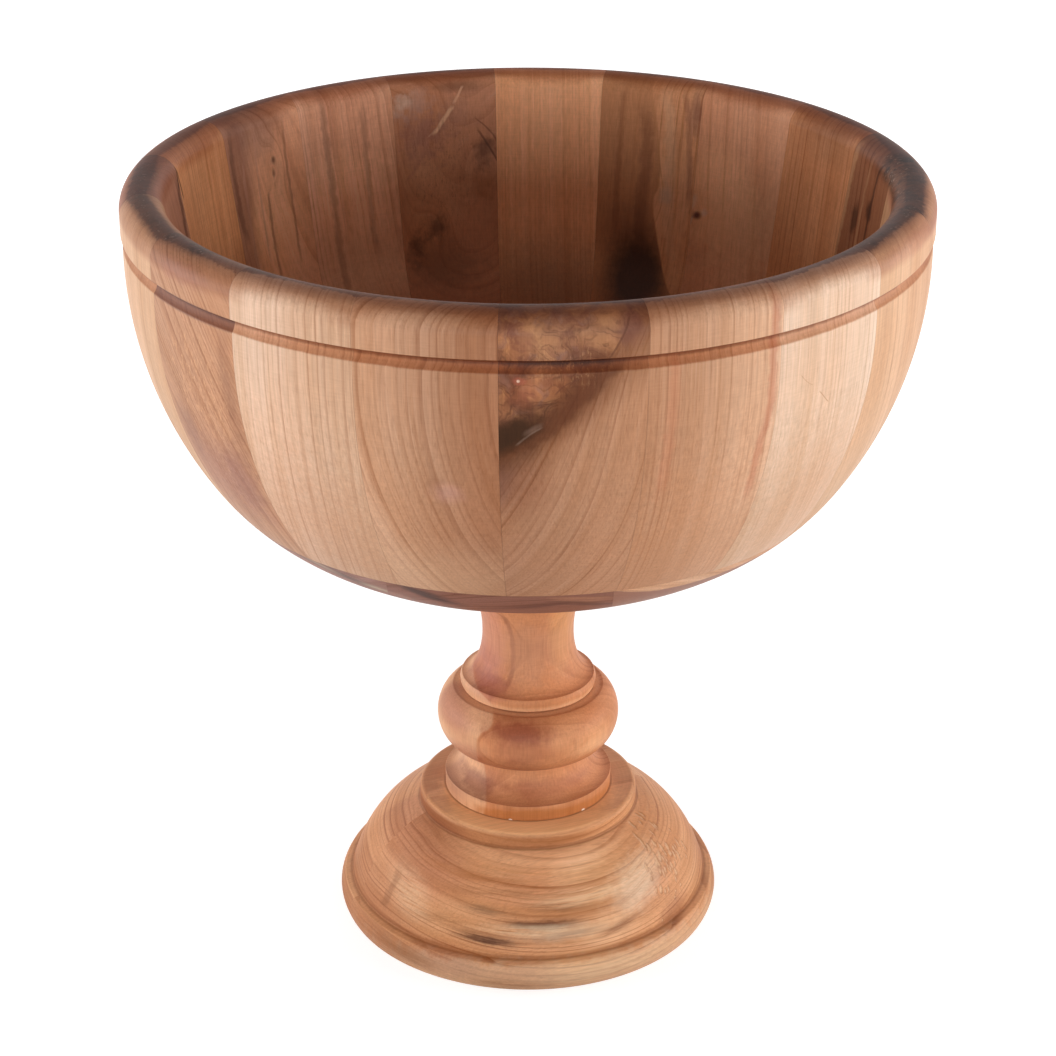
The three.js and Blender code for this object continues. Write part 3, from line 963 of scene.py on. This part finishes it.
def add_stem():
    knop_foot = plate_top + FOOT_RING_HEIGHT + COVE_HEIGHT
    knop_end = math.sin(math.radians(KNOP_END_ANGLE))
    groove_height = knop_foot + KNOP_HALF_HEIGHT * (1 + knop_end)
    sapwood_edge = ((-17, 52), (-16, 60), (-19.6, 83), (-18, 89), (-13, 96.2), (-21, 104), (-22, 130))
    marks = (
        beside("#D4A27C", 0.8, -1, 1.4, *sapwood_edge),
        spot("#B87868", 0.5, -15, 120, 9, 24),
        spot("#DCA266", 0.35, 13, 127, 7, 24),
        trail("#8A5038", 0.6, 2.8, (-9, 104), (-5.9, 115.1), (-6.6, 126), (-12.1, 135.4)),
        spot("#94503E", 0.6, -14, 104.5, 13, 5),
        faint("#C08C70", 0.45, 0, 120, 40, 20),
        spot("#803A26", 0.8, -4, 91.5, 21, 7, soft=0.8),
        spot("#A05E46", 0.4, -2, 84, 16, 8, soft=0.6),
        # Painted highlights on the knop's left and right sides.
        faint("#E4AA7C", 0.45, 27, 84, 10, 9),
        faint("#E2B084", 0.5, -26, 82, 13, 6),
        faint("#E0A87C", 0.45, 25, 81, 13, 6),
        spot("#7E4434", 0.65, -20, 61, 9, 5),
        spot("#9A583E", 0.6, 6, 62, 24, 5),
        spot("#A8622C", 0.62, 6, 52.5, 36, 5, soft=0.5),
        spot("#F4E4D4", 0.9, -7, 51.6, 0.9, 0.6, soft=0.5),
        spot("#F4E4D4", 0.9, 22, 51.8, 0.8, 0.6, soft=0.5),
        # Painted light against the shade under the neck ring.
        painted_ring_shading("#F0BC90", 0.55, NECK_RING_RADIUS, groove_height, 0.0036),
        # Darker on the left of the knop, cove and neck and lighter on their right: partly the wood's own
        # tone, partly painted light and shade.
        tone_and_painted_light(0.7, 0.58, 0.62, -30, 92, 12, 11),
        tone_and_painted_light(0.72, 0.6, 0.64, -24, 77, 13, 12),
        tone_and_painted_light(0.76, 0.68, 0.68, -6, 75, 18, 8),
        tone_and_painted_light(0.72, 0.66, 0.7, -31, 58, 10, 12),
        tone_and_painted_light(0.8, 0.76, 0.8, -14, 64, 8, 8),
        tone_and_painted_light(0.85, 0.78, 0.86, -18, 108, 12, 16),
        tone_and_painted_light(1.12, 1.24, 1.36, 14, 89, 12, 8),
        tone_and_painted_light(1.15, 1.25, 1.3, 10, 62, 12, 7),
        # Painted shade in the crease at the foot of the knop.
        painted_ring_shading("#8A4C30", 0.5, WAIST_RADIUS, knop_foot, 0.0018),
    )
    board = Board((0, 0, 0), (0, 0, 0), "#C38259", across=-75, ring=3.4, curve=50, wander=3, lines=0.4,
                  seed=7, marks=marks, front_only=True, end_grain=0.3)
    mesh = smooth_mesh("stem", swept(stem_outline(), start=0, sweep=360, steps=240))
    show("stem", mesh, wood("stem", board))


def add_bottom():
    whole = swept(bottom_outline(), start=0, sweep=360, steps=300)
    bounds = (None, *BOTTOM_JOINTS, None)
    looks = {
        "left": ("#96695A", (
            streaked("#4A3630", 0.95, -84, 195, 24, 6, turn=-20),
            streaked("#543C34", 0.9, -64, 187, 16, 5, turn=-18),
            # Painted highlights: the pale streaks under the left board.
            streaked("#B8A088", 0.8, -54, 184, 9, 3, turn=-12),
            streaked("#B8A088", 0.6, -74, 190, 12, 2, turn=-20))),
        "middle": ("#865848", (
            streaked("#3A2220", 1, -34, 186.5, 18, 4.4, turn=-25),
            spot("#48302A", 0.75, -38, 188.5, 10, 2.6, turn=-20),
            streaked("#B47E60", 0.7, 20, 188, 18, 3, turn=-8),
            streaked("#5A362E", 0.8, 2, 184, 26, 3.4, turn=10),
            streaked("#4E302A", 0.7, 20, 184, 20, 2.4, turn=-14),
            streaked("#B4806A", 0.5, -46, 181, 10, 3, turn=-20))),
        "right": ("#D2A07A", (
            under("#8E6050", 0.9, 1.2, (29, 193.5), (38, 190), (52, 187.2), (80, 188)),)),
    }
    for i, (side, (tone, marks)) in enumerate(looks.items()):
        node = "bottom_board_" + side
        board = Board((0, 0, 0), (90, 0, 0), tone, across=84, ring=1.7, curve=90, wander=4, lines=0.9,
                      seed=11 + i, marks=marks, front_only=True, contrast=1.6)
        mesh = smooth_mesh(node, board_between(whole, bounds[i], bounds[i + 1]))
        show(node, mesh, wood(node, board))
    whole.free()


# Staves: colour, angle of the rings, ring width and ring radius in mm, strength of the lines, and for
# the lip how dark it is and the depths in mm at which its darkest part starts and ends.
STAVES = {
    1: ("#B38262", 40, 2.4, 400, 0.66, (0.75, 8.4, 13)),
    2: ("#C89A7A", -4, 2.6, 300, 0.62, (0.74, 8.2, 13)),
    3: ("#D8B89E", -22, 2.6, 300, 0.44, (0.95, 7.6, 13)),
    4: ("#C99D79", -42, 3, 200, 0.42, (0.84, 6.6, 13)),
    5: ("#C3946F", 20, 2.4, 120, 0.44, (0.85, 5, 12)),
    6: ("#945F42", 25, 4.2, 60, 0.85, (0.85, 5, 11)),
    7: ("#CD8C61", 8, 2.8, 200, 0.6, (0.9, 4.6, 10.6)),
    8: ("#D69873", 30, 2.6, 200, 0.38, (0.88, 4.6, 10.2)),
    9: ("#D6976C", -20, 3, 120, 0.6, (0.88, 4.6, 9.8)),
    10: ("#F7B486", 3, 2, 300, 0.36, (0.86, 4.6, 9.8)),
    11: ("#C08260", 70, 2.6, 60, 0.32, (0.86, 4.6, 9.8)),
    12: ("#DFA280", 12, 3.2, 200, 0.62, (0.9, 4.6, 10.4)),
    13: ("#E0A07A", 35, 3.2, 60, 0.48, (0.88, 4.6, 11)),
    14: ("#CC8C60", -25, 2.2, 160, 0.52, (0.86, 4.6, 12)),
    15: ("#A8745C", 40, 3, 90, 0.55, (0.8, 4.6, 12)),
    16: ("#C49A78", 35, 2.6, 120, 0.46, (0.74, 5, 12)),
    17: ("#AD7D5D", 42, 1.7, 500, 0.75, (0.76, 6, 13)),
    18: ("#D4B095", 14, 2.7, 300, 0.64, (0.86, 7.8, 13)),
    19: ("#B38465", -40, 2.7, 400, 0.68, (0.8, 8.4, 13)),
}
FIGURED_STAVE = 1
LEANING_GRAIN = {17: -35}

# The edge of the darker heartwood on stave 9, as points (x, z).
HEARTWOOD_EDGE = (
    (-18, 222), (-12.6, 228), (-8.7, 238.3), (-5.9, 248.3), (-4.1, 260.4), (-5.9, 266.4), (-5.4, 278.4),
    (-2.7, 293.5), (0.6, 306.5))
# Marks of the staves: x runs across a stave from its middle, z up from the ground, both in mm.
STAVE_MARKS = {
    1: (
        # Partly the wood's own tone, partly painted light and shade across the stave.
        graded_tone_and_light((0.9, 0.9, 0.92), (1.05, 1.07, 1.08)),
        # Partly the wood's own tone, partly painted shade: darker along the burl and to its left.
        tone_and_painted_light(0.6, 0.5, 0.44, -1, 281, 30, 14, turn=49),
        tone_and_painted_light(0.9, 0.78, 0.68, -22, 287, 12, 28),
        tone_and_painted_light(0.82, 0.78, 0.8, -20, 247, 18, 20),
        trail("#5A301C", 0.62, 12, (-18, 260), (-4, 272.5), (4, 281), (12, 290)),
        faint("#7C5240", 0.75, -25, 248, 8, 16, turn=-8),
        faint("#56301A", 0.9, -22, 262, 27, 12, turn=37, ragged=0.2),
        spot("#38200F", 0.96, -23, 265, 22, 8, turn=31, soft=0.7, ragged=0.3),
        faint("#7E6152", 0.45, -13, 268.5, 5, 1.6, turn=33),
        trail("#9C8070", 0.24, 1.6, (-18.5, 262.5), (-15.5, 265.5), (-10.5, 269)),
        # Painted shade in the groove, under the band.
        spot("#3A2014", 0.6, -2, 291.3, 26, 1.6, soft=0.8),
        spot("#70463C", 0.62, 18, 303, 8, 10, turn=-20, soft=0.8),
        trail("#5A3426", 0.6, 1.2, (9, 290), (14, 297), (18, 306)),
        trail("#5A3426", 0.6, 1, (-6, 281), (-1, 285), (5, 286.5)),
        # Partly the wood's own tone, partly painted light: lighter in the burl.
        tone_and_painted_light(1.55, 1.45, 1.3, -12, 283, 14, 7, turn=20),
        tone_and_painted_light(1.35, 1.4, 1.32, -19, 299, 11, 8),
        spot("#B4604A", 0.5, -18, 285.5, 3, 2),
        spot("#E4C4AC", 0.8, -18.2, 285.6, 0.7, 0.7, soft=0.6),
        flecks("#C9966C", 0.35, -4, 292, 24, 14),
    ),
    2: (
        # Partly the wood's own tone, partly painted light and shade across the stave.
        graded_tone_and_light((0.84, 0.76, 0.7), (1.12, 1.22, 1.3)),
        trail("#B0664A", 0.45, 5, (18.5, 232), (19, 250), (21.5, 270), (21.5, 306)),
        trail("#C47F60", 0.3, 6, (-17, 240), (-16, 262), (-15.5, 292)),
        faint("#B27850", 0.46, 0, 204, 60, 60),
    ),
    3: (
        trail("#A87A54", 0.6, 0.8, (0.5, 261), (-2, 263.5), (-5, 266.5)),
        trail("#A87A54", 0.4, 0.7, (-9, 270), (-12, 272), (-15, 275)),
        faint("#BC865E", 0.42, 0, 212, 60, 60),
        grime("#6C4C42", 0.7, -4, 40, 9),
    ),
    4: (spot("#B0705A", 0.34, 6, 303, 40, 5), grime("#5A382C", 0.85, -40, 40, 6.4)),
    5: (spot("#B0705A", 0.55, 0, 301, 40, 5), grime("#3C2018", 0.9, -40, 40, 4.6)),
    6: (
        grime("#220E0A", 0.95, -40, -4, 3.4),
        trail("#B88460", 0.5, 3.2, (3, 262), (6, 285), (5, 306)),
        trail("#CE9A70", 0.5, 5, (21, 252), (21, 275), (20, 306)),
        trail("#3C2016", 0.8, 3, (-6, 262), (-3, 284), (-7, 306)),
        spot("#3A1F16", 0.8, -2, 286, 5, 5),
        spot("#3A1F16", 0.7, 11, 279, 4, 9),
    ),
    7: (
        # Partly the wood's own tone, partly painted light and shade: darker at the lip, lighter below.
        tone_and_painted_light(0.78, 0.79, 0.8, -4, 302, 34, 14),
        tone_and_painted_light(1.12, 1.15, 1.18, 0, 262, 30, 26),
    ),
    8: (
        # Partly the wood's own tone, partly painted light: lighter on the upper inside of the stave, and on
        # its outside there too.
        tone_and_painted_light(1.38, 1.48, 1.48, 12, 266, 26, 26),
        faint("#F2C096", 0.45, 0, 254, 34, 28),
        # Painted highlight beside the knot.
        faint("#E4C0AC", 0.6, 15, 258.5, 2.6, 2.2),
        faint("#E0BCA0", 0.5, 21, 262, 3, 5),
        trail("#D0B09A", 0.6, 1.2, (21, 252.5), (20.4, 255), (18.5, 257.5)),
        spot("#5A302A", 0.92, 18.3, 256.8, 3.2, 2.4, turn=-20, soft=0.8, ragged=0.2),
    ),
    9: (
        # Partly the wood's own tone, partly painted light: lighter on the upper inside of the stave, and on
        # its outside there too.
        tone_and_painted_light(1.25, 1.4, 1.55, -4, 262, 30, 28),
        only(1, HEARTWOOD_EDGE, spot("#BE825A", 0.75, 8, 260, 90, 90, soft=0.2),
             trail("#84523A", 0.5, 8, (1, 236), (2, 262), (1, 275), (4, 296)),
             trail("#9A6242", 0.5, 4, (12, 246), (13, 275), (12, 304)),
             faint("#6A4030", 0.55, 6, 246, 22, 20, ragged=0.1),
             # Partly a dark stain, partly painted shade low inside the bowl.
             within_bowl(spot("#301914", 0.93, 1, 228, 21, 25, ragged=0.1))),
        trail("#E0B08C", 0.4, 7, (-13, 236), (-10, 262), (-9.6, 278), (-6, 303)),
        trail("#8A5440", 0.45, 4, (-19, 262), (-18, 280), (-14, 304)),
        faint("#6A3E38", 0.6, -20, 298, 6, 14),
        faint("#D2B49C", 0.5, -9, 262, 5, 7),
    ),
    # Painted shade low inside the bowl; it darkens the stave's outside there too.
    10: (faint("#6E4024", 0.62, 0, 222, 60, 32, ragged=0.1),),
    11: (
        # Partly the wood's own tone, partly painted light: lighter on the upper inside of the stave, and on
        # its outside there too.
        tone_and_painted_light(1.2, 1.35, 1.4, 8, 262, 26, 30),
        faint("#8E5E54", 0.55, 10, 284, 16, 16, ragged=0.9),
        faint("#A0705E", 0.45, -4, 292, 12, 10, ragged=0.9),
        faint("#9A6038", 0.45, -14, 264, 12, 10, ragged=0.9),
        # Painted sheen: the pale grey patches at the top of the stave.
        faint("#BC9280", 0.5, 13, 298, 13, 8, turn=-25, ragged=0.9),
        faint("#D8BAA4", 0.4, 17, 299, 7, 5, turn=-25, ragged=0.9),
        faint("#4A2A20", 0.45, -6, 304, 16, 3),
        trail("#DCA884", 0.8, 1.8, (-8.3, 304), (-4.5, 297.5)),
        trail("#E0AE88", 0.85, 3, (-3.5, 296), (1, 290), (4.5, 285.5)),
        trail("#C89478", 0.5, 1.6, (2, 289), (7, 284.5)),
        trail("#C89478", 0.6, 1.3, (-22, 308), (-22.6, 304), (-19, 299)),
        trail("#B87E64", 0.45, 3, (8, 284), (11, 276), (17, 268)),
        faint("#34201A", 0.6, 5.5, 247.5, 7, 7, ragged=0.8),
        faint("#34201A", 0.6, 14, 239, 5, 11, turn=10, ragged=0.8),
        faint("#3E241A", 0.6, -16.5, 277, 6, 11, turn=20, ragged=0.8),
        trail("#4A2A1E", 0.6, 1.6, (-24, 268), (-20, 276), (-14, 286)),
        trail("#4A2A1E", 0.45, 1.4, (-24, 276), (-20, 284), (-13, 291)),
        # Painted shade low inside the bowl; it darkens the stave's outside there too.
        faint("#4E2C1A", 0.45, 4, 232, 26, 16),
        flecks("#A06C4C", 0.4, 0, 268, 30, 40),
        flecks("#5E3A2A", 0.35, 0, 272, 30, 40, side=-1),
    ),
    12: (
        # Partly the wood's own tone, partly painted light: lighter on the upper inside of the stave, and on
        # its outside there too.
        tone_and_painted_light(1.45, 1.55, 1.55, 2, 262, 34, 28),
        faint("#E2AC88", 0.6, 0, 234, 40, 30),
        trail("#6A3E2A", 0.4, 5, (8, 225), (9, 260), (10, 306)),
        trail("#6E4434", 0.3, 4, (-9, 240), (-8, 262), (-9, 300)),
    ),
    13: (
        # Partly the wood's own tone, partly painted light and shade: lighter on the upper inside and
        # outside, darker at the lip.
        tone_and_painted_light(1.36, 1.46, 1.46, 0, 257, 34, 28),
        tone_and_painted_light(0.58, 0.58, 0.62, 3, 303, 24, 20),
        faint("#44241C", 0.8, -5.5, 287.4, 1.7, 2.4, ragged=0.3),
        faint("#44241C", 0.6, -4.6, 282.5, 1.3, 2.4, ragged=0.3),
        faint("#D09A76", 0.4, -7.5, 285, 3.4, 5),
        beside("#6E4036", 0.55, 1, 9, (5, 225), (7, 260), (4, 285), (6, 306)),
        trail("#C08A72", 0.5, 2.4, (12, 230), (13.5, 262), (12, 290)),
        trail("#7A4838", 0.5, 2.2, (0, 240), (1, 262), (-1, 276)),
        trail("#7A4838", 0.45, 2, (-12, 246), (-12, 270), (-13, 300)),
        trail("#C08A72", 0.45, 1.8, (5, 250), (5, 272), (3, 300)),
        trail("#4A2A20", 0.45, 4.5, (17, 262), (19, 286), (18, 303)),
    ),
    14: (
        # Partly the wood's own tone, partly painted light: lighter on the upper inside of the stave, and on
        # its outside there too.
        tone_and_painted_light(1.3, 1.36, 1.4, -8, 270, 26, 30),
        trail("#3A2016", 0.75, 1.6, (20, 292), (21, 300), (23.5, 307)),
    ),
    15: (
        trail("#4E2C1E", 0.65, 5, (-12, 235), (-16, 265), (-20, 300)),
        grime("#604230", 0.7, -14, 40, 4, inner=13),
        trail("#180E0A", 0.9, 1.4, (-20.5, 296), (-22, 302), (-23.5, 309)),
    ),
    16: (grime("#604230", 0.74, -40, 40, 4.4, inner=12),),
    17: (
        # Partly the wood's own tone, partly painted light and shade across the stave.
        graded_tone_and_light((1.00, 1.03, 1.06), (1.14, 1.18, 1.22)),
        spot("#9A6450", 0.6, -2, 302, 22, 5),
        grime("#4C3426", 0.84, -40, 6, 5.2),
        faint("#8E5E52", 0.45, -4, 224, 28, 30),
        faint("#84564C", 0.55, 12, 226, 13, 26),
        faint("#7E5648", 0.45, -14, 240, 10, 20),
        faint("#7A4E3C", 0.45, 20, 262, 6, 40),
        flecks("#D8A67C", 0.5, 0, 262, 34, 40),
        flecks("#C4948A", 0.3, 0, 218, 34, 30),
        flecks("#84543C", 0.5, 0, 245, 34, 70, side=-1),
        spot("#6E4434", 0.7, 0, (groove_top + groove_base) * 500, 60, 3.2, soft=0.3, ragged=0.05),
    ),
    18: (
        # Partly the wood's own tone, partly painted light and shade across the stave.
        graded_tone_and_light((1.02, 1.04, 1.06), (0.93, 0.88, 0.83)),
        faint("#B0744C", 0.38, 0, 212, 60, 58),
        grime("#6A4A3C", 0.6, -40, -10, 9),
    ),
    19: (
        # Partly the wood's own tone, partly painted light and shade across the stave.
        graded_tone_and_light((1.3, 1.46, 1.6), (0.8, 0.7, 0.63)),
        faint("#D0A684", 0.35, 0, 198, 60, 28),
        faint("#C4938A", 0.35, 6, 242, 8, 6),
        faint("#9A6A50", 0.4, 2, 246, 5, 4),
    ),
}
# Knots: place x and z, how far each bends the grain along the stave, and by how much, in mm.
KNOTS = {
    8: ((18, 257, 3.5, 4),),
    9: ((-4, 262, 7, 5),),
    11: ((6, 249, 8, 5), (-14, 274, 7, 4), (12, 300, 9, 5)),
    13: ((-5.5, 287.4, 5, 6),),
}


def add_staves():
    outline = stave_outline()
    sweep = 360 / STAVE_COUNT
    for number, (tone, across, ring, curve, lines, lip) in STAVES.items():
        node = f"stave_{number:02d}"
        start = FIRST_SEAM_ANGLE + (number - 1) * sweep
        middle = math.radians(start + sweep / 2)
        origin = (lip_radius * math.sin(middle), -lip_radius * math.cos(middle), 0)
        board = Board(origin, (0, 0, math.degrees(middle)), tone, across, ring, curve, lines=lines,
                      lean=LEANING_GRAIN.get(number, 0), seed=number, knots=KNOTS.get(number, ()),
                      marks=STAVE_MARKS.get(number, ()), burl=number == FIGURED_STAVE, lip=lip)
        mesh = smooth_mesh(node, swept(outline, start, sweep, steps=16, shrink=JOINT))
        show(node, mesh, wood(node, board, in_stave=True))


# Studio

def seen(tree):
    """1 where the camera looks, directly, in a reflection or through glass; 0 for light on the object."""
    path = tree.nodes.new("ShaderNodeLightPath")
    rays = [Field(tree, path.outputs[f"Is {kind} Ray"]) for kind in ("Camera", "Glossy", "Transmission")]
    return rays[0].math("MAXIMUM", rays[1]).math("MAXIMUM", rays[2])


def add_floor():
    """A grey floor that keeps the bowl's shadow. To the camera it glows, up to white away from the bowl."""
    material, tree, shader = new_material("floor")
    shader.inputs["Base Color"].default_value = (FLOOR_GREY, FLOOR_GREY, FLOOR_GREY, 1)
    shader.inputs["Roughness"].default_value = 0.9
    shader.inputs["Specular IOR Level"].default_value = 0.0
    distance = coordinate(tree, "Object").vector_math("LENGTH", output=1)
    glow = tree.nodes.new("ShaderNodeEmission")
    level = seen(tree) * (distance.step(0.1, 1.2) * 0.25 + 0.7)
    tree.links.new(level.socket, glow.inputs["Strength"])
    both = tree.nodes.new("ShaderNodeAddShader")
    tree.links.new(shader.outputs[0], both.inputs[0])
    tree.links.new(glow.outputs[0], both.inputs[1])
    tree.links.new(both.outputs[0], tree.nodes["Material Output"].inputs["Surface"])
    form = bmesh.new()
    bmesh.ops.create_grid(form, x_segments=1, y_segments=1, size=FLOOR_HALF_SIZE)
    mesh = bpy.data.meshes.new("floor")
    form.to_mesh(mesh)
    form.free()
    mesh.materials.append(material)
    floor = placed("floor", mesh)


def add_lamp(name, azimuth, distance, width, low, high, power):
    """An upright softbox that faces the axis. Azimuth 0 is the front, growing towards +X."""
    lamp = bpy.data.lights.new(name, "AREA")
    lamp.shape = "RECTANGLE"
    lamp.size = width
    lamp.size_y = high - low
    lamp.energy = power
    holder = placed(name, lamp)
    a = math.radians(azimuth)
    holder.location = (math.sin(a) * distance, -math.cos(a) * distance, (low + high) / 2)
    holder.rotation_euler = (math.radians(90), 0, a)


def add_world():
    """Light from a white wall behind the bowl and a dim ceiling; the camera sees white all round."""
    world = bpy.data.worlds.new("studio")
    bpy.context.scene.world = world
    world.use_nodes = True
    tree = world.node_tree
    _, y, z = coordinate(tree, "Generated").parts()
    backdrop = y.step(-0.3, 0.5) * z.step(0.90, 0.45)
    strength = (backdrop * (BACKDROP_LEVEL - CEILING_LEVEL) + CEILING_LEVEL).math("MAXIMUM", seen(tree))
    tree.nodes["Background"].inputs["Color"].default_value = (1, 1, 1, 1)
    tree.links.new(strength.socket, tree.nodes["Background"].inputs["Strength"])


def add_camera():
    camera = bpy.data.cameras.new("camera")
    camera.sensor_width = 36
    camera.lens = CAMERA_LENS
    holder = placed("camera", camera)
    holder.location = (0, -CAMERA_DISTANCE, CAMERA_HEIGHT)
    holder.rotation_euler = (math.radians(90 - CAMERA_TILT), 0, 0)
    bpy.context.scene.camera = holder


add_base()
add_stem()
add_bottom()
add_staves()
add_floor()
for lamp_name, side_azimuth in (("left", -88), ("right", 86)):
    add_lamp(lamp_name, side_azimuth, distance=1.2, width=1.1, low=0.0, high=0.56, power=11)
add_lamp("front", azimuth=0, distance=1.7, width=1.7, low=0.15, high=0.60, power=17)
add_world()
add_camera()
bpy.context.scene.view_settings.view_transform = "Standard"
